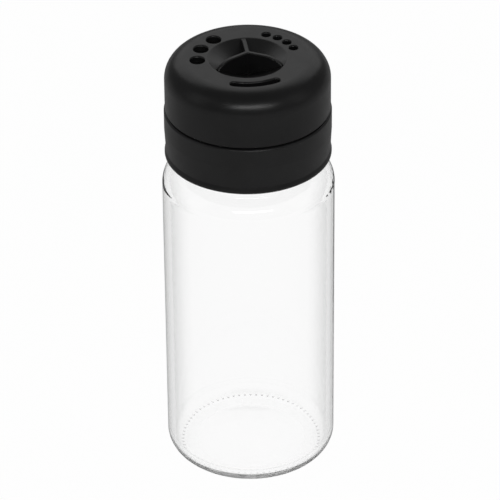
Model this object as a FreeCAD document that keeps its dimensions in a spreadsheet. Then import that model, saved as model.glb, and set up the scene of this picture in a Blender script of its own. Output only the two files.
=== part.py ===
import FreeCAD, Part
import math
import os
import Sketcher

# Glass spice jar with a screw-on shaker head. The jar stands on the origin with
# its axis along +Z and the front of the head towards -Y. Lengths are millimetres
# and angles degrees. Names that end in _radius, _wall and so on are read from
# the Sizes sheet, which holds every driving dimension once.

doc = FreeCAD.newDocument("spice_shaker")
sheet = doc.addObject("Spreadsheet::Sheet", "Sizes")

SIZES = [
    # glass jar
    ("jar_radius", 25.0),
    ("jar_wall", 2.2),
    ("jar_floor", 2.6),
    ("heel_radius", 5.4),
    ("bearing_width", 3.4),
    ("push_up_height", 0.8),
    ("shoulder_width", 4.5),
    ("shoulder_rise", 2.9),
    ("shoulder_round", 7.0),
    ("shoulder_clearance", 3.25),
    ("neck_wall", 2.5),
    ("jar_height", 114.0),
    ("rim_round", 0.8),
    # screw thread between jar and collar
    ("thread_pitch", 3.2),
    ("thread_turns", 1.5),
    ("thread_depth", 1.1),
    ("thread_root", 1.7),
    ("thread_crest", 0.9),
    ("thread_drop", 7.6),
    ("thread_gap", 0.4),
    # gasket on the rim
    ("gasket_thickness", 1.0),
    ("gasket_gap", 0.2),
    # screw collar
    ("collar_wall", 2.1),
    ("collar_waist", 0.35),
    ("collar_waist_height", 2.0),
    ("collar_waist_reach", 6.5),
    ("collar_bore_depth", 13.35),
    ("collar_shelf", 1.35),
    ("collar_lip", 1.0),
    ("collar_edge", 0.55),
    ("tower_gap", 0.65),
    ("tower_wall", 1.6),
    # turning cap
    ("seam_gap", 0.3),
    ("cap_step", 0.3),
    ("cap_wall", 1.75),
    ("cap_height", 15.95),
    ("cap_top_wall", 1.9),
    ("cap_dome", 6.4),
    ("cap_inner_dome", 4.2),
    ("cap_edge", 0.6),
    ("cap_turned", 158.5),
    # finger grip
    ("grip_land", 0.3),
    ("grip_floor_radius", 2.0),
    ("grip_depth", 4.5),
    ("grip_rim_round", 0.8),
    ("rib_end_gap", 0.7),
    ("rib_flat", 5.5),
    ("rib_thickness", 1.3),
    ("rib_round", 0.35),
    ("rib_crown", 2.0),
    ("rib_turned", 59.0),
    ("rib_count", 3),
    # openings of the cap
    ("opening_margin", 3.15),
    ("large_hole", 4.1),
    ("large_step", 26.0),
    ("small_hole", 2.4),
    ("small_step", 15.0),
    ("small_turned", 246.5),
    ("slot_margin", 2.3),
    ("slot_width", 2.1),
    ("slot_span", 47.0),
    ("slot_turned", 120.2),
    ("hole_round", 0.5),
    # shutter disc under the cap
    ("shutter_gap", 0.25),
    ("shutter_plate", 1.5),
    ("shutter_step", 0.8),
    ("shutter_rim", 2.85),
    ("shutter_edge", 2.6),
    ("shutter_skirt", 2.4),
    ("shutter_skirt_wall", 1.3),
    ("shutter_fit", 0.1),
    ("window_margin", 0.9),
    ("window_span", 37.0),
    ("window_turned", 339.2),
    ("key_width", 4.0),
    ("key_depth", 1.8),
    ("key_count", 3),
    # pivot
    ("boss_radius", 3.4),
    ("pivot_fit", 0.08),
    ("hub_radius", 6.0),
    ("hub_height", 7.9),
    ("spring_room", 1.3),
    ("spring_thickness", 0.4),
    ("spring_wave", 0.3),
    ("spring_side_gap", 0.2),
    ("washer_radius", 5.6),
    ("washer_thickness", 0.8),
    ("screw_radius", 1.25),
    ("screw_length", 6.0),
    ("screw_tip_gap", 0.4),
    ("screw_washer_gap", 0.2),
    ("screw_head_radius", 2.9),
    ("screw_head_height", 1.9),
    ("screw_head_round", 0.7),
    ("screw_recess_reach", 1.6),
    ("screw_recess_width", 0.8),
    ("screw_recess_depth", 1.1),
]

ALIASES = {alias for alias, number in SIZES}

for row, (alias, number) in enumerate(SIZES, start=1):
    sheet.set("A%d" % row, alias)
    sheet.set("B%d" % row, str(number))
    sheet.setAlias("B%d" % row, alias)
doc.recompute()


def bound(expression):
    """The expression with the sheet's name before each of its aliases."""
    words = []
    word = ""
    for character in expression + " ":
        if character.isalnum() or character in "_.":
            word += character
            continue
        words.append("Sizes." + word if word in ALIASES else word)
        words.append(character)
        word = ""
    return "".join(words).strip()


def size(expression):
    """The present value of an expression of the sheet's aliases."""
    return float(sheet.evalExpression(bound(expression)))


def origin_plane(body, role):
    for feature in body.Origin.OriginFeatures:
        if feature.Role == role:
            return feature
    raise ValueError(role)


def new_body(name, height="0", turned="0"):
    """A body whose own zero stands at a height on the axis, turned about it."""
    body = doc.addObject("PartDesign::Body", name)
    body.Label = name
    body.Placement = FreeCAD.Placement(
        FreeCAD.Vector(0, 0, size(height)),
        FreeCAD.Rotation(FreeCAD.Vector(0, 0, 1), size(turned)),
    )
    body.setExpression("Placement.Base.z", bound(height))
    body.setExpression("Placement.Rotation.Angle", bound(turned))
    return body


def new_sketch(body, name, role="XZ_Plane", height=None, turned=None):
    """A sketch on a plane of the body, raised by a height or turned about the axis."""
    sketch = body.newObject("Sketcher::SketchObject", name)
    sketch.AttachmentSupport = [(origin_plane(body, role), "")]
    sketch.MapMode = "FlatFace"
    if turned is not None:
        axis = FreeCAD.Vector(0, 1, 0) if role == "XZ_Plane" else FreeCAD.Vector(0, 0, 1)
        rotation = FreeCAD.Rotation(axis, size(turned))
        sketch.AttachmentOffset = FreeCAD.Placement(FreeCAD.Vector(0, 0, 0), rotation)
        sketch.setExpression("AttachmentOffset.Rotation.Angle", bound(turned))
    if height is not None:
        sketch.setExpression("AttachmentOffset.Base.z", bound(height))
    return sketch


def hold(sketch, kind, item, point, expression):
    """Holds one coordinate of a sketch point at an expression."""
    value = size(expression)
    index = sketch.addConstraint(Sketcher.Constraint(kind, -1, 1, item, point, value))
    sketch.setExpression("Constraints[%d]" % index, bound(expression))


def hold_radius(sketch, item, expression):
    index = sketch.addConstraint(Sketcher.Constraint("Radius", item, size(expression)))
    sketch.setExpression("Constraints[%d]" % index, bound(expression))


def crown(start, end, across):
    """The arc from start to end, against the clock, whose centre is that far across."""
    rise = (start.x - across) ** 2 - (end.x - across) ** 2 + start.y ** 2 - end.y ** 2
    centre = FreeCAD.Vector(across, rise / (2 * (start.y - end.y)), 0)
    full = Part.Circle(centre, FreeCAD.Vector(0, 0, 1), (start - centre).Length)
    first = math.atan2(start.y - centre.y, start.x - across)
    last = math.atan2(end.y - centre.y, end.x - across)
    return Part.ArcOfCircle(full, first, last)


def outline(sketch, corners, crowned=None, centre="0"):
    """A closed line through corners, with an arc after the corner numbered crowned."""
    values = [(size(across), size(up)) for across, up in corners]
    count = len(corners)
    for index in range(count):
        start = FreeCAD.Vector(*values[index], 0)
        end = FreeCAD.Vector(*values[(index + 1) % count], 0)
        if index == crowned:
            item = sketch.addGeometry(crown(start, end, size(centre)), False)
            hold(sketch, "DistanceX", item, 3, centre)
        else:
            sketch.addGeometry(Part.LineSegment(start, end), False)
    for index in range(count):
        following = (index + 1) % count
        sketch.addConstraint(Sketcher.Constraint("Coincident", index, 2, following, 1))
    for index, (across, up) in enumerate(corners):
        hold(sketch, "DistanceX", index, 1, across)
        hold(sketch, "DistanceY", index, 1, up)


def circle(sketch, across, up, radius):
    centre = FreeCAD.Vector(size(across), size(up), 0)
    item = sketch.addGeometry(Part.Circle(centre, FreeCAD.Vector(0, 0, 1), size(radius)), False)
    hold(sketch, "DistanceX", item, 3, across)
    hold(sketch, "DistanceY", item, 3, up)
    hold_radius(sketch, item, radius)


def arc_slot(sketch, ring, width, middle, span):
    """A round-ended slot along a ring: span is the angle between its end centres."""
    first = math.radians(size("(%s) - (%s) / 2" % (middle, span)))
    last = math.radians(size("(%s) + (%s) / 2" % (middle, span)))
    up = FreeCAD.Vector(0, 0, 1)
    centre = FreeCAD.Vector(0, 0, 0)
    outer = Part.Circle(centre, up, size("%s + %s / 2" % (ring, width)))
    inner = Part.Circle(centre, up, size("%s - %s / 2" % (ring, width)))
    end_a = FreeCAD.Vector(math.cos(first), math.sin(first), 0) * size(ring)
    end_b = FreeCAD.Vector(math.cos(last), math.sin(last), 0) * size(ring)
    round_a = Part.Circle(end_a, up, size("%s / 2" % width))
    round_b = Part.Circle(end_b, up, size("%s / 2" % width))
    arcs = [
        Part.ArcOfCircle(outer, first, last),
        Part.ArcOfCircle(round_b, last, last + math.pi),
        Part.ArcOfCircle(inner, first, last),
        Part.ArcOfCircle(round_a, first - math.pi, first),
    ]
    items = [sketch.addGeometry(arc, False) for arc in arcs]
    rule = Sketcher.Constraint
    sketch.addConstraint(rule("Coincident", items[0], 3, -1, 1))
    sketch.addConstraint(rule("Coincident", items[2], 3, -1, 1))
    sketch.addConstraint(rule("Tangent", items[0], 2, items[1], 1))
    sketch.addConstraint(rule("Tangent", items[1], 2, items[2], 2))
    sketch.addConstraint(rule("Tangent", items[2], 1, items[3], 1))
    sketch.addConstraint(rule("Tangent", items[3], 2, items[0], 1))
    hold_radius(sketch, items[0], "%s + %s / 2" % (ring, width))
    hold_radius(sketch, items[2], "%s - %s / 2" % (ring, width))
    hold(sketch, "DistanceX", items[3], 3, "%s * cos(%s - %s / 2)" % (ring, middle, span))
    hold(sketch, "DistanceX", items[1], 3, "%s * cos(%s + %s / 2)" % (ring, middle, span))


def revolve(body, name, corners, crowned=None):
    """A full turn of an outline of radius and height about the body's axis."""
    sketch = new_sketch(body, name + "_outline")
    outline(sketch, corners, crowned)
    feature = body.newObject("PartDesign::Revolution", name)
    feature.Profile = sketch
    feature.ReferenceAxis = (sketch, ["V_Axis"])
    feature.Angle = 360
    doc.recompute()
    return feature


def helix(body, name, corners, pitch, turns):
    """A right-handed thread ridge of the outline's section about the axis."""
    sketch = new_sketch(body, name + "_section")
    outline(sketch, corners)
    feature = body.newObject("PartDesign::AdditiveHelix", name)
    feature.Profile = sketch
    feature.ReferenceAxis = (sketch, ["V_Axis"])
    feature.Mode = 1
    feature.Pitch = size(pitch)
    feature.Turns = size(turns)
    feature.setExpression("Pitch", bound(pitch))
    feature.setExpression("Turns", bound(turns))
    doc.recompute()
    return feature


def cut(body, name, sketch, depth):
    """A pocket of a sketch, upwards from it."""
    before = body.Shape.Volume
    feature = body.newObject("PartDesign::Pocket", name)
    feature.Profile = sketch
    feature.Length = size(depth)
    feature.setExpression("Length", bound(depth))
    feature.Reversed = True
    doc.recompute()
    if not body.Shape.Volume < before:
        raise ValueError(name + " cuts nothing")
    return feature


def pad(body, name, sketch, length, midplane=False):
    feature = body.newObject("PartDesign::Pad", name)
    feature.Profile = sketch
    feature.Length = size(length)
    feature.setExpression("Length", bound(length))
    feature.Midplane = midplane
    doc.recompute()
    return feature


def polar(body, feature, count, axis="N_Axis"):
    """The feature repeated evenly about the body's axis."""
    pattern = body.newObject("PartDesign::PolarPattern", feature.Name + "_around")
    pattern.Originals = [feature]
    pattern.Axis = (feature.Profile[0], [axis])
    pattern.Angle = 360
    pattern.Occurrences = int(size(count))
    pattern.setExpression("Occurrences", bound(count))
    body.Tip = pattern
    doc.recompute()
    return pattern


def circles(shape):
    """Name and circle of each edge that is a full circle or an arc of one."""
    found = []
    for index, edge in enumerate(shape.Edges, start=1):
        if not edge.Degenerated and isinstance(edge.Curve, Part.Circle):
            found.append(("Edge%d" % index, edge.Curve))
    return found


def ring_edges(shape, places):
    """Names of the round edges about the axis at the given pairs of radius and height."""
    near = 0.02
    found = []
    for across, up in places:
        for name, circle_found in circles(shape):
            centre = FreeCAD.Vector(0, 0, size(up))
            if (circle_found.Center - centre).Length > near:
                continue
            if abs(circle_found.Radius - size(across)) < near:
                found.append(name)
    if len(found) < len(places):
        raise ValueError("an edge to round is missing: %s" % places)
    return found


def rim_edges(shape, height, radii):
    """Names of the round edges of the given radii that lie at a height."""
    near = 0.02
    wanted = [size(radius) for radius in radii]
    found = []
    for name, circle_found in circles(shape):
        if abs(circle_found.Center.z - size(height)) > near:
            continue
        if any(abs(circle_found.Radius - radius) < near for radius in wanted):
            found.append(name)
    return found


def round_over(body, name, radius, places=(), edges=()):
    """A fillet of the ring edges at places, or of edges named already."""
    base = body.Tip
    feature = body.newObject("PartDesign::Fillet", name)
    names = list(edges) or ring_edges(base.Shape, places)
    feature.Base = (base, names)
    feature.Radius = size(radius)
    feature.setExpression("Radius", bound(radius))
    doc.recompute()
    return feature


# Radii that follow from the jar outwards to the head.
NECK_RADIUS = "(jar_radius - shoulder_width)"
NECK_BORE = "(%s - neck_wall)" % NECK_RADIUS
INNER_RADIUS = "(jar_radius - jar_wall)"
BEARING_RADIUS = "(jar_radius - heel_radius - bearing_width)"
COLLAR_BORE = "(%s + thread_depth + thread_gap)" % NECK_RADIUS
COLLAR_RADIUS = "(%s + collar_wall)" % COLLAR_BORE
COLLAR_MOUTH = "(%s - collar_lip)" % NECK_BORE
CAP_RADIUS = "(%s - cap_step)" % COLLAR_RADIUS
CAP_BORE = "(%s - cap_wall)" % CAP_RADIUS
TOWER_RADIUS = "(%s - tower_gap)" % CAP_BORE
TOWER_BORE = "(%s - tower_wall)" % TOWER_RADIUS
SHUTTER_RADIUS = "(%s - shutter_step)" % TOWER_RADIUS

# The openings lie on the flat of the cap, inside its dome, and the grip inside them.
OPENING_RING = "(%s - cap_dome - opening_margin)" % CAP_RADIUS
SLOT_RING = "(%s - cap_dome - slot_margin)" % CAP_RADIUS
HOLE_WEB = "(2 * %s * sin(small_step / 2) - small_hole)" % OPENING_RING
GRIP_RADIUS = "(%s - large_hole / 2 - hole_round - grip_land)" % OPENING_RING
GRIP_SLOPE = "(grip_depth / (%s - grip_floor_radius))" % GRIP_RADIUS
GRIP_WALL = "(cap_top_wall * sqrt(1 + %s * %s))" % (GRIP_SLOPE, GRIP_SLOPE)
CONE_START = "(%s + (%s - cap_top_wall) / %s)" % (GRIP_RADIUS, GRIP_WALL, GRIP_SLOPE)

# Heights above the table where the pieces stand.
COLLAR_BASE = "(jar_height + gasket_thickness - collar_bore_depth)"
COLLAR_HEIGHT = "(collar_bore_depth + collar_shelf)"
SHOULDER_TOP = "(%s - shoulder_clearance)" % COLLAR_BASE
SHOULDER_START = "(%s - shoulder_rise)" % SHOULDER_TOP
THREAD_START = "(jar_height - thread_drop)"
CAP_BASE = "(%s + %s + seam_gap)" % (COLLAR_BASE, COLLAR_HEIGHT)
SHUTTER_TOP = "(%s + cap_height - cap_top_wall - shutter_gap)" % CAP_BASE
TOWER_TOP = "(%s - shutter_rim)" % SHUTTER_TOP
HUB_BASE = "(%s - hub_height)" % SHUTTER_TOP

# The inside of the shoulder follows its outside at the wall's thickness.
SHOULDER_SLOPE = "(shoulder_rise / shoulder_width)"
SHOULDER_WALL = "(jar_wall * sqrt(1 + %s * %s))" % (SHOULDER_SLOPE, SHOULDER_SLOPE)


def shoulder_inside(across):
    """Height of the inner shoulder at a radius."""
    return "%s + (jar_radius - %s) * %s - %s" % (
        SHOULDER_START, across, SHOULDER_SLOPE, SHOULDER_WALL)


def thread_section(root, crest, middle):
    """A trapezoid from a root radius to a crest radius, about a middle height."""
    return [
        (root, "%s - thread_root / 2" % middle),
        (crest, "%s - thread_crest / 2" % middle),
        (crest, "%s + thread_crest / 2" % middle),
        (root, "%s + thread_root / 2" % middle),
    ]


def glass_jar():
    body = new_body("glass_jar")
    revolve(body, "jar_glass", [
        (BEARING_RADIUS, "0"),
        ("0", "push_up_height"),
        ("0", "jar_floor"),
        (INNER_RADIUS, "jar_floor"),
        (INNER_RADIUS, shoulder_inside(INNER_RADIUS)),
        (NECK_BORE, shoulder_inside(NECK_BORE)),
        (NECK_BORE, "jar_height"),
        (NECK_RADIUS, "jar_height"),
        (NECK_RADIUS, SHOULDER_TOP),
        ("jar_radius", SHOULDER_START),
        ("jar_radius", "0"),
    ], crowned=0)
    round_over(body, "heel", "heel_radius", [("jar_radius", "0")])
    round_over(body, "shoulder", "shoulder_round", [("jar_radius", SHOULDER_START)])
    round_over(body, "inner_shoulder", "shoulder_round - jar_wall", [
        (INNER_RADIUS, shoulder_inside(INNER_RADIUS)),
    ])
    round_over(body, "inner_heel", "heel_radius - jar_wall", [(INNER_RADIUS, "jar_floor")])
    round_over(body, "neck_root", "rim_round", [
        (NECK_RADIUS, SHOULDER_TOP),
        (NECK_BORE, shoulder_inside(NECK_BORE)),
    ])
    round_over(body, "rim", "rim_round", [
        (NECK_RADIUS, "jar_height"),
        (NECK_BORE, "jar_height"),
    ])
    helix(
        body, "neck_thread",
        thread_section(
            "%s - thread_depth / 5" % NECK_RADIUS,
            "%s + thread_depth" % NECK_RADIUS,
            THREAD_START,
        ),
        "thread_pitch", "thread_turns",
    )
    return body


def rim_gasket():
    body = new_body("rim_gasket", "jar_height")
    outside = "%s - gasket_gap" % COLLAR_BORE
    revolve(body, "gasket_ring", [
        (NECK_BORE, "0"),
        (outside, "0"),
        (outside, "gasket_thickness"),
        (NECK_BORE, "gasket_thickness"),
    ])
    return body


def screw_collar():
    body = new_body("screw_collar", COLLAR_BASE)
    tower_top = "%s - %s" % (TOWER_TOP, COLLAR_BASE)
    revolve(body, "collar_wall_turned", [
        (COLLAR_BORE, "0"),
        (COLLAR_RADIUS, "0"),
        (COLLAR_RADIUS, "collar_waist_height / 2"),
        ("%s - collar_waist" % COLLAR_RADIUS, "collar_waist_height"),
        (COLLAR_RADIUS, "collar_waist_height + collar_waist_reach"),
        (COLLAR_RADIUS, COLLAR_HEIGHT),
        (TOWER_RADIUS, COLLAR_HEIGHT),
        (TOWER_RADIUS, tower_top),
        (TOWER_BORE, tower_top),
        (TOWER_BORE, COLLAR_HEIGHT),
        (COLLAR_MOUTH, COLLAR_HEIGHT),
        (COLLAR_MOUTH, "collar_bore_depth"),
        (COLLAR_BORE, "collar_bore_depth"),
    ])
    round_over(body, "collar_edges", "collar_edge", [
        (COLLAR_RADIUS, "0"),
        (COLLAR_RADIUS, COLLAR_HEIGHT),
    ])
    notch = new_sketch(body, "key_notch_outline", "XY_Plane", "%s - key_depth" % tower_top)
    outline(notch, [
        ("%s - tower_wall / 2" % TOWER_BORE, "-key_width / 2"),
        ("%s + tower_wall / 2" % TOWER_RADIUS, "-key_width / 2"),
        ("%s + tower_wall / 2" % TOWER_RADIUS, "key_width / 2"),
        ("%s - tower_wall / 2" % TOWER_BORE, "key_width / 2"),
    ])
    polar(body, cut(body, "key_notch", notch, "key_depth * 1.5"), "key_count")
    helix(
        body, "collar_thread",
        thread_section(
            "%s + thread_depth / 5" % COLLAR_BORE,
            "%s - thread_depth" % COLLAR_BORE,
            "%s - thread_pitch / 2 - %s" % (THREAD_START, COLLAR_BASE),
        ),
        "thread_pitch", "thread_turns",
    )
    return body


def grip_ribs(body):
    """Three thin ribs across the dish, whose crests stand level and then round down."""
    reach = "(%s - rib_end_gap)" % GRIP_RADIUS
    sunk = "cap_height - cap_top_wall / 4"
    sketch = new_sketch(body, "rib_outline", turned="rib_turned")
    outline(sketch, [
        ("0", "%s - grip_depth" % sunk),
        ("grip_floor_radius", "%s - grip_depth" % sunk),
        (reach, "%s - rib_end_gap * %s" % (sunk, GRIP_SLOPE)),
        (reach, "cap_height"),
        ("rib_flat", "cap_height + rib_crown"),
        ("0", "cap_height + rib_crown"),
    ], crowned=3, centre="rib_flat")
    rib = pad(body, "rib", sketch, "rib_thickness", midplane=True)
    polar(body, rib, "rib_count", "V_Axis")
    crest = size("cap_height + rib_crown")
    edges = [
        "Edge%d" % index
        for index, edge in enumerate(body.Tip.Shape.Edges, start=1)
        if abs(edge.BoundBox.ZMax - crest) < 0.02 and edge.Length > size("rib_thickness") * 1.2
    ]
    round_over(body, "rib_edges", "rib_round", edges=edges)


def openings(body):
    """Three large holes, four small holes and a curved slot, a third of a turn apart."""
    start = "cap_height - cap_top_wall - 1"
    holes = new_sketch(body, "hole_outlines", "XY_Plane", start)
    for step in (-1, 0, 1):
        angle = "(%d * large_step)" % step
        circle(
            holes,
            "%s * cos%s" % (OPENING_RING, angle),
            "%s * sin%s" % (OPENING_RING, angle),
            "large_hole / 2",
        )
    for step in (-3, -1, 1, 3):
        angle = "(%d * small_step / 2 + small_turned)" % step
        circle(
            holes,
            "%s * cos%s" % (OPENING_RING, angle),
            "%s * sin%s" % (OPENING_RING, angle),
            "small_hole / 2",
        )
    cut(body, "holes", holes, "cap_top_wall + 2")
    slot = new_sketch(body, "slot_outline", "XY_Plane", start)
    arc_slot(slot, SLOT_RING, "slot_width", "slot_turned", "slot_span")
    cut(body, "slot", slot, "cap_top_wall + 2")
    edges = rim_edges(body.Tip.Shape, "cap_height", [
        "large_hole / 2",
        "small_hole / 2",
        "slot_width / 2",
        "%s - slot_width / 2" % SLOT_RING,
        "%s + slot_width / 2" % SLOT_RING,
    ])
    round_over(body, "opening_edges", "min(hole_round; 0.4 * %s)" % HOLE_WEB, edges=edges)


def turning_cap():
    body = new_body("turning_cap", CAP_BASE, "cap_turned")
    ceiling = "cap_height - cap_top_wall"
    cone_end = "cap_height - (%s - boss_radius) * %s - %s" % (GRIP_RADIUS, GRIP_SLOPE, GRIP_WALL)
    boss_end = "%s - spring_room - %s" % (HUB_BASE, CAP_BASE)
    pilot_end = "%s + screw_length - washer_thickness" % boss_end
    revolve(body, "cap_shell", [
        ("0", pilot_end),
        ("screw_radius", pilot_end),
        ("screw_radius", boss_end),
        ("boss_radius", boss_end),
        ("boss_radius", cone_end),
        (CONE_START, ceiling),
        (CAP_BORE, ceiling),
        (CAP_BORE, "0"),
        (CAP_RADIUS, "0"),
        (CAP_RADIUS, "cap_height"),
        (GRIP_RADIUS, "cap_height"),
        ("grip_floor_radius", "cap_height - grip_depth"),
        ("0", "cap_height - grip_depth"),
    ])
    round_over(body, "dome", "cap_dome", [(CAP_RADIUS, "cap_height")])
    round_over(body, "inner_dome", "cap_inner_dome", [(CAP_BORE, ceiling)])
    round_over(body, "lower_edge", "cap_edge", [(CAP_RADIUS, "0")])
    round_over(body, "grip_rim", "grip_rim_round", [(GRIP_RADIUS, "cap_height")])
    grip_ribs(body)
    openings(body)
    return body


def shutter_disc():
    body = new_body("shutter_disc", HUB_BASE)
    bore = "(boss_radius + pivot_fit)"
    cone = "(%s + shutter_gap)" % CONE_START
    plate_wall = "(shutter_plate * sqrt(1 + %s * %s))" % (GRIP_SLOPE, GRIP_SLOPE)
    under_start = "%s + (%s - shutter_plate) / %s" % (cone, plate_wall, GRIP_SLOPE)
    skirt_out = "(%s - shutter_fit)" % TOWER_BORE
    skirt_in = "(%s - shutter_skirt_wall)" % skirt_out
    skirt_end = "hub_height - shutter_rim - shutter_skirt"
    revolve(body, "disc_plate", [
        (bore, "0"),
        ("hub_radius", "0"),
        ("hub_radius", "hub_height - (%s - hub_radius) * %s - %s" % (cone, GRIP_SLOPE, plate_wall)),
        (under_start, "hub_height - shutter_plate"),
        (skirt_in, "hub_height - shutter_plate"),
        (skirt_in, skirt_end),
        (skirt_out, skirt_end),
        (skirt_out, "hub_height - shutter_rim"),
        (SHUTTER_RADIUS, "hub_height - shutter_rim"),
        (SHUTTER_RADIUS, "hub_height"),
        (cone, "hub_height"),
        (bore, "hub_height - (%s - %s) * %s" % (cone, bore, GRIP_SLOPE)),
    ])
    round_over(body, "disc_edge", "shutter_edge", [(SHUTTER_RADIUS, "hub_height")])
    key = new_sketch(body, "key_outline", "XY_Plane",
                     "hub_height - shutter_rim - key_depth + shutter_fit")
    half = "(key_width / 2 - shutter_fit)"
    inner = "%s - shutter_skirt_wall / 2" % skirt_out
    outline(key, [
        (inner, "-" + half),
        (TOWER_RADIUS, "-" + half),
        (TOWER_RADIUS, half),
        (inner, half),
    ])
    polar(body, pad(body, "key", key, "key_depth - shutter_fit"), "key_count")
    window = new_sketch(body, "window_outline", "XY_Plane",
                        "hub_height - 2 * shutter_plate - 1", "window_turned - 270")
    inside = "(%s - large_hole / 2 - window_margin)" % OPENING_RING
    outside = "(%s + slot_width / 2 + window_margin)" % SLOT_RING
    arc_slot(window, "((%s + %s) / 2)" % (inside, outside),
             "(%s - %s)" % (outside, inside), "270", "window_span")
    cut(body, "window", window, "2 * shutter_plate + 2")
    return body


def thrust_washer():
    body = new_body("thrust_washer", "%s - spring_room - washer_thickness" % HUB_BASE)
    revolve(body, "washer_ring", [
        ("screw_radius + screw_washer_gap", "0"),
        ("washer_radius", "0"),
        ("washer_radius", "washer_thickness"),
        ("screw_radius + screw_washer_gap", "washer_thickness"),
    ])
    return body


def pivot_screw():
    head_end = "%s - spring_room - washer_thickness - screw_head_height" % HUB_BASE
    body = new_body("pivot_screw", head_end)
    tip = "screw_head_height + screw_length - screw_tip_gap"
    revolve(body, "screw_turned", [
        ("0", "0"),
        ("screw_head_radius", "0"),
        ("screw_head_radius", "screw_head_height"),
        ("screw_radius", "screw_head_height"),
        ("screw_radius", tip + " - screw_radius / 2"),
        ("screw_radius / 2", tip),
        ("0", tip),
    ])
    round_over(body, "head_edge", "screw_head_round", [("screw_head_radius", "0")])
    recess = new_sketch(body, "recess_outline", "XY_Plane", "0")
    reach = "screw_recess_reach"
    half = "screw_recess_width / 2"
    corners = []
    for across, up in ((1, 1), (-1, 1), (-1, -1), (1, -1)):
        wide = ("%d * %s" % (across, reach), "%d * %s" % (up, half))
        inner = ("%d * %s" % (across, half), "%d * %s" % (up, half))
        tall = ("%d * %s" % (across, half), "%d * %s" % (up, reach))
        corners += [wide, inner, tall] if across == up else [tall, inner, wide]
    outline(recess, corners)
    cut(body, "recess", recess, "screw_recess_depth")
    return body


def spring_washer():
    """A flat ring bent into even waves, with its inner and outer edges alike."""
    inner = size("boss_radius + spring_side_gap")
    outer = size("washer_radius - spring_side_gap")
    middle = size("spring_room / 2")
    half = size("spring_thickness / 2")
    wave = size("spring_wave")
    waves = 3
    steps = 16 * waves

    def edge(radius, offset):
        points = []
        for step in range(steps):
            turn = 2 * math.pi * step / steps
            points.append(FreeCAD.Vector(
                radius * math.cos(turn),
                radius * math.sin(turn),
                middle + offset + wave * math.cos(waves * turn),
            ))
        curve = Part.BSplineCurve()
        curve.interpolate(points, PeriodicFlag=True)
        return curve.toShape()

    rails = [edge(inner, -half), edge(outer, -half), edge(outer, half), edge(inner, half)]
    faces = []
    for index, rail in enumerate(rails):
        faces.append(Part.makeRuledSurface(rail, rails[(index + 1) % len(rails)]))
    shell = Part.makeShell(faces)
    shell.sewShape()
    solid = Part.makeSolid(Part.Shell(shell.Faces))
    if solid.Volume < 0:
        solid.reverse()
    feature = doc.addObject("Part::Feature", "spring_washer")
    feature.Label = "spring_washer"
    feature.Shape = solid
    height = "%s - spring_room" % HUB_BASE
    feature.Placement = FreeCAD.Placement(FreeCAD.Vector(0, 0, size(height)), FreeCAD.Rotation())
    feature.setExpression("Placement.Base.z", bound(height))
    return feature


parts = [
    glass_jar(),
    rim_gasket(),
    screw_collar(),
    shutter_disc(),
    turning_cap(),
    pivot_screw(),
    thrust_washer(),
    spring_washer(),
]

doc.recompute()
for item in doc.Objects:
    if "Invalid" in item.State or "Error" in item.State:
        raise ValueError("%s is %s" % (item.Name, item.State))
for part in parts:
    if part.Shape.isNull() or not part.Shape.isValid():
        raise ValueError(part.Label + " is not a valid shape")

os.makedirs("parts", exist_ok=True)
for part in parts:
    part.Shape.exportStep("parts/%s.step" % part.Label)
    print(part.Label, len(part.Shape.Solids), "solid", round(part.Shape.Volume, 2))
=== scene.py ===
import math
import bmesh
import bpy
from mathutils import Matrix, Vector


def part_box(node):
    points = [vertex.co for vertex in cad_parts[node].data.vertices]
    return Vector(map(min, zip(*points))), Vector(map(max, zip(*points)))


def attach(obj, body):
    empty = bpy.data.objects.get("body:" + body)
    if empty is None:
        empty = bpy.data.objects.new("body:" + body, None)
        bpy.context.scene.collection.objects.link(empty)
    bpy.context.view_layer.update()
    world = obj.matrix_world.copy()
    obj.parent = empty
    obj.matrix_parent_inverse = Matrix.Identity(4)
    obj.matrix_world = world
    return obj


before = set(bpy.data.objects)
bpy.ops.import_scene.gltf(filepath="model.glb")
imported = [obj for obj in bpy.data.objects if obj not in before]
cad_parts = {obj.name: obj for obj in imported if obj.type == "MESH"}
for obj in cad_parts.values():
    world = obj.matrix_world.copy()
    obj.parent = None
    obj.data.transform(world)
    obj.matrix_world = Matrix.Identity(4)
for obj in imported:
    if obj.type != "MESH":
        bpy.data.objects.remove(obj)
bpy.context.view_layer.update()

MM = 0.001
WHITE = (1.0, 1.0, 1.0, 1.0)
JAR_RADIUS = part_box("glass_jar")[1].x

# The photograph's view: a long lens that looks down at the jar. The camera stands on the line
# that rises from VIEW_TARGET, and looks at VIEW_AIM.
VIEW_ELEVATION = math.radians(32.80)
VIEW_DISTANCE = 1.07424
VIEW_TARGET = Vector((0.0, 0.0, 0.070))
VIEW_AIM = Vector((0.00024, 0.0, 0.06755))
VIEW_ROLL = math.radians(-0.54)
VIEW_LENS = 263.88
SENSOR = 36.0
LIGHT_BOUNCES = 40

# Knurls moulded round the underside of the jar, where its heel begins.
KNURL_COUNT = 72
KNURL_RING = JAR_RADIUS - 3.95 * MM
KNURL_HEIGHT = 0.42 * MM
KNURL_SIZE = Vector((0.60, 0.30, 0.22)) * MM
KNURL_SIDES = 16
KNURL_ROWS = 10

# Glass: where its painted edge shade starts and is full, from 0 for a wall that faces the eye to 1 for
# one seen edge on, and the heights between which the dull base and shoulder fade into the wall.
GLASS_IOR = 1.5
GLASS_GLINT = 0.12
EDGE_START = 0.45
EDGE_FULL = 0.92
# Grey edge tone of the glass: painted shade for the darker room seen through its edges and the longer
# path through the wall.
EDGE_SHADE = (0.60, 0.607, 0.605, 1.0)
BASE_ROUGHNESS = 0.03
BASE_FADE = (3.0 * MM, 9.0 * MM)
SHOULDER_ROUGHNESS = 0.07
SHOULDER_FADE = (88.0 * MM, 95.0 * MM)
WAVE_DEPTH = 0.4 * MM

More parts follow.
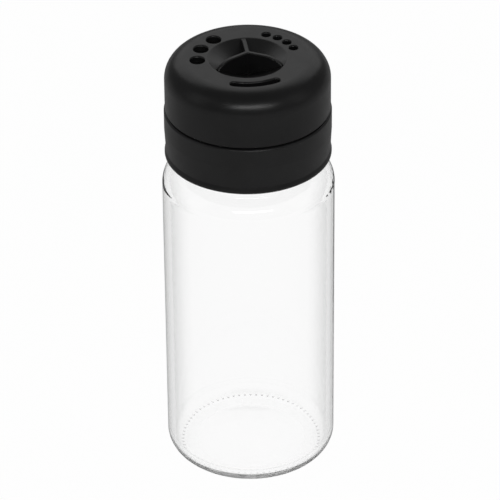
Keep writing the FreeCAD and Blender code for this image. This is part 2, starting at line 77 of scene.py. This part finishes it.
# Plastic: a tone a little bluer than neutral, and how far its gloss wanders.
PLASTIC_IOR = 1.49
BLUE_CAST = 1.03
GLOSS_SPREAD = 0.035
GRAIN_DEPTH = 0.06 * MM

# Foam and steel of the pieces inside the head.
FOAM_DARK = (0.68, 0.68, 0.66, 1.0)
FOAM_LIGHT = (0.82, 0.82, 0.80, 1.0)
CELL_DEPTH = 0.1 * MM
STEEL = (0.62, 0.62, 0.63, 1.0)
MARK_DEPTH = 0.04 * MM

# Room: the floor's own paint, the part of it that shows as plain white, and the room's level.
FLOOR_SIZE = 12.0
FLOOR_PAINT = (0.86, 0.86, 0.86, 1.0)
FLOOR_WHITE = 0.985
ROOM_LEVEL = 0.12
LAMP_TARGET = Vector((0.0, 0.0, 0.10))


# Node helpers

def new_material(name):
    material = bpy.data.materials.new(name)
    material.use_nodes = True
    tree = material.node_tree
    tree.nodes.clear()
    return material, tree


def node(tree, kind, **values):
    """A shader node whose inputs and properties are set by name."""
    made = tree.nodes.new(kind)
    for key, value in values.items():
        if key in made.inputs:
            made.inputs[key].default_value = value
        else:
            setattr(made, key, value)
    return made


def join(tree, source, output, target, entry):
    tree.links.new(source.outputs[output], target.inputs[entry])


def finish_tree(tree, shader, kind="ShaderNodeOutputMaterial"):
    join(tree, shader, 0, node(tree, kind), "Surface")


def noise(tree, scale, detail=3.0, roughness=0.5):
    """Noise in the object's own coordinates, so that it moves with the piece."""
    where = node(tree, "ShaderNodeTexCoord")
    made = node(tree, "ShaderNodeTexNoise", Scale=scale, Detail=detail, Roughness=roughness)
    join(tree, where, "Object", made, "Vector")
    return made


def spread(tree, source, output, low, high, from_low=0.3, from_high=0.7):
    """A value mapped to the range low to high."""
    made = node(tree, "ShaderNodeMapRange")
    made.inputs["From Min"].default_value = from_low
    made.inputs["From Max"].default_value = from_high
    made.inputs["To Min"].default_value = low
    made.inputs["To Max"].default_value = high
    join(tree, source, output, made, "Value")
    return made


def colour_by(tree, source, output, shader, first, second, start=0.0, end=1.0):
    """Colours the shader from a first to a second tone as the value goes from start to end."""
    ramp = node(tree, "ShaderNodeValToRGB")
    tones = ramp.color_ramp.elements
    tones[0].position = start
    tones[1].position = end
    tones[0].color = first
    tones[1].color = second
    join(tree, source, output, ramp, "Fac")
    join(tree, ramp, "Color", shader, "Base Color")


def raise_by(tree, source, output, shader, strength, depth):
    """Gives the shader a relief that follows a texture."""
    bump = node(tree, "ShaderNodeBump", Strength=strength, Distance=depth)
    join(tree, source, output, bump, "Height")
    join(tree, bump, "Normal", shader, "Normal")


def gloss_by(tree, source, shader, smooth, dull):
    """Lets the shader's roughness wander between two values with a noise."""
    join(tree, spread(tree, source, "Fac", smooth, dull), "Result", shader, "Roughness")


# Materials

def moulded_plastic(name, dark, light, rough, grain):
    """Black moulded plastic: faint tone changes, a fine spark-eroded grain, soft wear."""
    material, tree = new_material(name)
    shader = node(tree, "ShaderNodeBsdfPrincipled", IOR=PLASTIC_IOR)
    first = (dark, dark, dark * BLUE_CAST, 1.0)
    second = (light, light, light * BLUE_CAST, 1.0)
    tone = noise(tree, scale=90.0, detail=4.0, roughness=0.6)
    colour_by(tree, tone, "Fac", shader, first, second, start=0.35, end=0.68)
    patches = noise(tree, scale=240.0, roughness=0.55)
    gloss_by(tree, patches, shader, rough - GLOSS_SPREAD, rough + GLOSS_SPREAD)
    fine = noise(tree, scale=5200.0, detail=2.0, roughness=0.6)
    raise_by(tree, fine, "Fac", shader, strength=grain, depth=GRAIN_DEPTH)
    finish_tree(tree, shader)
    return material


def clear_glass():
    """Jar glass with soft waves; its colour darkens where the wall is seen edge on, a painted shade
    for the darker room seen through the edges and the longer path through the wall.
    """
    material, tree = new_material("clear_glass")
    shader = node(tree, "ShaderNodeBsdfPrincipled", IOR=GLASS_IOR, Roughness=0.0)
    shader.inputs["Transmission Weight"].default_value = 1.0
    shader.inputs["Specular IOR Level"].default_value = GLASS_GLINT
    # Painted shade: the glass's colour darkens towards the grey edge tone where the wall is seen edge
    # on.
    edge = node(tree, "ShaderNodeLayerWeight", Blend=0.5)
    depth = spread(tree, edge, "Facing", 0.0, 1.0, EDGE_START, EDGE_FULL)
    colour_by(tree, depth, "Result", shader, WHITE, EDGE_SHADE)
    dull_ends(tree, shader)
    waves = noise(tree, scale=55.0, detail=1.0, roughness=0.4)
    raise_by(tree, waves, "Fac", shader, strength=0.05, depth=WAVE_DEPTH)
    finish_tree(tree, shader)
    return material


def dull_ends(tree, shader):
    """The pressed base and the shoulder are a little duller than the wall between them."""
    where = node(tree, "ShaderNodeTexCoord")
    parts = node(tree, "ShaderNodeSeparateXYZ")
    join(tree, where, "Object", parts, "Vector")
    base = spread(tree, parts, "Z", BASE_ROUGHNESS, 0.0, *BASE_FADE)
    shoulder = spread(tree, parts, "Z", 0.0, SHOULDER_ROUGHNESS, *SHOULDER_FADE)
    rough = node(tree, "ShaderNodeMath", operation="ADD")
    join(tree, base, "Result", rough, 0)
    join(tree, shoulder, "Result", rough, 1)
    join(tree, rough, "Value", shader, "Roughness")


def foam_liner():
    """Pale closed-cell foam of the gasket."""
    material, tree = new_material("foam_liner")
    shader = node(tree, "ShaderNodeBsdfPrincipled", Roughness=0.75)
    colour_by(tree, noise(tree, scale=400.0), "Fac", shader, FOAM_DARK, FOAM_LIGHT)
    cells = node(tree, "ShaderNodeTexVoronoi", Scale=2600.0)
    raise_by(tree, cells, "Distance", shader, strength=0.4, depth=CELL_DEPTH)
    finish_tree(tree, shader)
    return material


def turned_steel():
    """Bright steel of the screw and washers, with fine turning marks."""
    material, tree = new_material("turned_steel")
    shader = node(tree, "ShaderNodeBsdfPrincipled", Metallic=1.0)
    shader.inputs["Base Color"].default_value = STEEL
    gloss_by(tree, noise(tree, scale=900.0), shader, smooth=0.24, dull=0.38)
    where = node(tree, "ShaderNodeTexCoord")
    rings = node(tree, "ShaderNodeTexWave", Scale=1800.0, Distortion=0.6)
    rings.wave_type = "RINGS"
    rings.rings_direction = "Z"
    join(tree, where, "Object", rings, "Vector")
    raise_by(tree, rings, "Fac", shader, strength=0.15, depth=MARK_DEPTH)
    finish_tree(tree, shader)
    return material


def give(name, material):
    """Puts a material in every slot of a CAD node."""
    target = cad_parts[name]
    if not target.data.materials:
        target.data.materials.append(material)
    for index in range(len(target.data.materials)):
        target.data.materials[index] = material


# Knurls on the jar's underside

def make_knurls(glass):
    """A ring of small radial glass lenses that lie in the glass just above its underside."""
    built = bmesh.new()
    seat = Matrix.Translation((KNURL_RING, 0, KNURL_HEIGHT)) @ Matrix.Diagonal((*KNURL_SIZE, 1))
    for count in range(KNURL_COUNT):
        turn = Matrix.Rotation(2 * math.pi * count / KNURL_COUNT, 4, "Z")
        bmesh.ops.create_uvsphere(built, u_segments=KNURL_SIDES, v_segments=KNURL_ROWS,
                                  radius=1.0, matrix=turn @ seat)
    for face in built.faces:
        face.smooth = True
    mesh = bpy.data.meshes.new("base_knurls")
    built.to_mesh(mesh)
    built.free()
    mesh.materials.append(glass)
    knurls = bpy.data.objects.new("base_knurls", mesh)
    bpy.context.collection.objects.link(knurls)
    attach(knurls, "jar")


# Room: floor, light and camera

def seen_directly(tree):
    """1 for the camera's own rays and those that went through glass, and 0 for the others."""
    rays = node(tree, "ShaderNodeLightPath")
    seen = node(tree, "ShaderNodeMath", operation="MAXIMUM")
    join(tree, rays, "Is Camera Ray", seen, 0)
    join(tree, rays, "Is Transmission Ray", seen, 1)
    return seen


def blend(tree, share, first, second):
    """Two shaders mixed by the value of a node."""
    mix = node(tree, "ShaderNodeMixShader")
    join(tree, share, "Value", mix, "Fac")
    join(tree, first, 0, mix, 1)
    join(tree, second, 0, mix, 2)
    return mix


def floor_material():
    """Pale floor that shows white to the camera, with the object's shadow kept faint."""
    material, tree = new_material("pale_floor")
    paint = node(tree, "ShaderNodeBsdfDiffuse")
    paint.inputs["Color"].default_value = FLOOR_PAINT
    white = node(tree, "ShaderNodeEmission", Strength=1.0)
    share = node(tree, "ShaderNodeMath", operation="MULTIPLY")
    share.inputs[1].default_value = FLOOR_WHITE
    join(tree, seen_directly(tree), "Value", share, 0)
    finish_tree(tree, blend(tree, share, paint, white))
    return material


def make_floor():
    bpy.ops.mesh.primitive_plane_add(size=FLOOR_SIZE, location=(0, 0, 0))
    floor = bpy.context.object
    floor.name = "floor"
    floor.data.materials.append(floor_material())


def make_world():
    """White to the camera and through glass, a plain grey room to everything else."""
    world = bpy.data.worlds.new("room")
    bpy.context.scene.world = world
    world.use_nodes = True
    tree = world.node_tree
    tree.nodes.clear()
    grey = node(tree, "ShaderNodeBackground", Color=WHITE, Strength=ROOM_LEVEL)
    white = node(tree, "ShaderNodeBackground", Color=WHITE, Strength=1.0)
    mix = blend(tree, seen_directly(tree), grey, white)
    finish_tree(tree, mix, "ShaderNodeOutputWorld")


def softbox(name, azimuth, elevation, distance, wide, tall, radiance):
    """An area lamp that looks at the head; azimuth 0 is the camera's side, 180 behind."""
    lamp = bpy.data.lights.new(name, "AREA")
    lamp.shape = "RECTANGLE"
    lamp.size = wide
    lamp.size_y = tall
    lamp.energy = radiance * math.pi * wide * tall
    holder = bpy.data.objects.new(name, lamp)
    turn = math.radians(azimuth)
    rise = math.radians(elevation)
    way = Vector((math.sin(turn) * math.cos(rise), -math.cos(turn) * math.cos(rise), math.sin(rise)))
    holder.location = LAMP_TARGET + way * distance
    holder.rotation_euler = (-way).to_track_quat("-Z", "Y").to_euler()
    holder.visible_camera = False
    holder.visible_transmission = False
    bpy.context.collection.objects.link(holder)


def make_lights():
    softbox("back_panel", azimuth=180, elevation=36, distance=1.9, wide=2.6, tall=1.5, radiance=0.52)
    softbox("front_strip", azimuth=6, elevation=36, distance=1.4, wide=1.2, tall=0.2, radiance=5.0)
    softbox("left_fill", azimuth=-75, elevation=25, distance=1.6, wide=0.7, tall=1.2, radiance=0.25)
    softbox("right_fill", azimuth=75, elevation=25, distance=1.6, wide=0.7, tall=1.2, radiance=0.2)


def make_camera():
    scene = bpy.context.scene
    data = bpy.data.cameras.new("view")
    data.sensor_width = SENSOR
    data.lens = VIEW_LENS
    data.clip_start = 0.05
    data.clip_end = 50.0
    camera = bpy.data.objects.new("view", data)
    scene.collection.objects.link(camera)
    back = Vector((0, -math.cos(VIEW_ELEVATION), math.sin(VIEW_ELEVATION)))
    camera.location = VIEW_TARGET + back * VIEW_DISTANCE
    look = (VIEW_AIM - camera.location).to_track_quat("-Z", "Y").to_matrix()
    camera.rotation_euler = (look @ Matrix.Rotation(VIEW_ROLL, 3, "Z")).to_euler()
    scene.camera = camera


def set_bounces():
    """Light that is trapped in the heel of the glass takes many turns to come out."""
    cycles = bpy.context.scene.cycles
    cycles.max_bounces = LIGHT_BOUNCES
    cycles.transmission_bounces = LIGHT_BOUNCES
    cycles.glossy_bounces = LIGHT_BOUNCES


make_camera()
make_world()
make_floor()
make_lights()

give("screw_collar", moulded_plastic("black_plastic", dark=0.014, light=0.020, rough=0.34, grain=0.25))
give("turning_cap", moulded_plastic("cap_plastic", dark=0.010, light=0.015, rough=0.31, grain=0.20))
give("shutter_disc", moulded_plastic("inner_plastic", dark=0.009, light=0.014, rough=0.50, grain=0.20))
glass = clear_glass()
give("glass_jar", glass)
make_knurls(glass)
give("rim_gasket", foam_liner())
steel = turned_steel()
for name in ("pivot_screw", "thrust_washer", "spring_washer"):
    give(name, steel)

bpy.context.scene.view_settings.view_transform = "Standard"
set_bounces()
